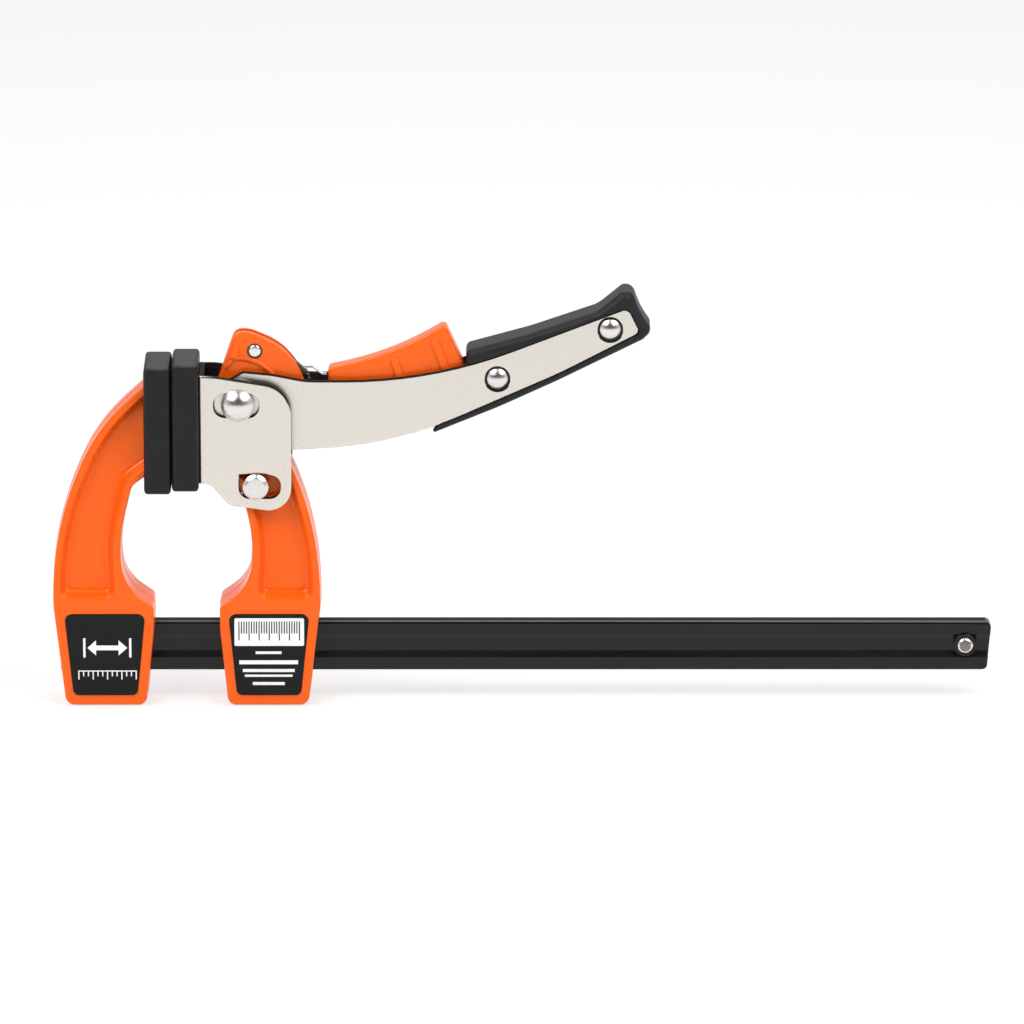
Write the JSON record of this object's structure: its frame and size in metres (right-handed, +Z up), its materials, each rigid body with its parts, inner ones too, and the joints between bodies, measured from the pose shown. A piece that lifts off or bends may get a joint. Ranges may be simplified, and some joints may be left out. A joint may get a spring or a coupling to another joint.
{
  "type": "quick release bar clamp",
  "caption": "Lever bar clamp: a fixed jaw and a sliding jaw on a grooved bar, with a cam lever, ratchet trigger and soft pads.",
  "frame": {"origin": "on the ground, at the middle of the fixed jaw's foot", "axes": "+X along the bar towards its open end, the way the sliding jaw opens; +Y away from the labelled side; +Z up, from the bar to the lever"},
  "size_m": [0.4518, 0.039, 0.2041],
  "materials": {
    "orange_coat": "smooth powder coat",
    "black_bar": "gloss black coat",
    "label_black": "satin label plate",
    "pad_rubber": "dense moulded rubber",
    "plate_steel": "tumbled bright steel sheet",
    "pin_steel": "turned steel",
    "dark_steel": "hardened dark steel",
    "polished_steel": "polished rivet heads",
    "grip_plastic": "moulded satin plastic"
  },
  "bodies": {
    "root": {"bar": "black_bar", "fixed_jaw": "orange_coat", "fixed_jaw_label": "label_black", "fixed_jaw_pins": "pin_steel", "fixed_pad": "pad_rubber", "stop_pin": "dark_steel", "stop_pin_rings": "black_bar"},
    "slider": {"sliding_jaw": "orange_coat", "sliding_jaw_label": "label_black", "ratchet_plate": "dark_steel", "ratchet_plate_pin": "pin_steel", "pivot_pin": "polished_steel", "head_washers": "pin_steel", "outer_washers": "pin_steel", "guide_pin": "polished_steel"},
    "carrier": {"pad_carrier": "plate_steel", "moving_pad": "pad_rubber"},
    "lever": {"lever_plate_front": "plate_steel", "lever_plate_back": "plate_steel", "lever_spacer": "pin_steel", "grip": "grip_plastic", "grip_rivets": "polished_steel", "trigger_pin": "plate_steel", "trigger_spring": "pin_steel"},
    "trigger": {"trigger": "orange_coat", "pawl": "dark_steel"}
  },
  "joints": [
    {"name": "jaw_slide", "type": "slide", "parent": "root", "child": "slider", "axis": [1, 0, 0], "range_m": [0, 0.305]},
    {"name": "lever_swing", "type": "hinge", "parent": "slider", "child": "lever", "pos_m": [0.06375, 0, 0.1494], "axis": [0, 1, 0], "range_deg": [-26, 0]},
    {"name": "carrier_slide", "type": "slide", "parent": "slider", "child": "carrier", "axis": [1, 0, 0], "range_m": [0, 0.0032]},
    {"name": "trigger_press", "type": "hinge", "parent": "lever", "child": "trigger", "pos_m": [0.10245, 0, 0.134], "axis": [0, 1, 0], "range_deg": [0, 4.5], "stiffness_Nm_per_rad": 1, "springref_deg": -14.32}
  ],
  "couplings": [
    {"joint": "carrier_slide", "follows": "lever_swing", "m_per_rad": -0.00705}
  ]
}
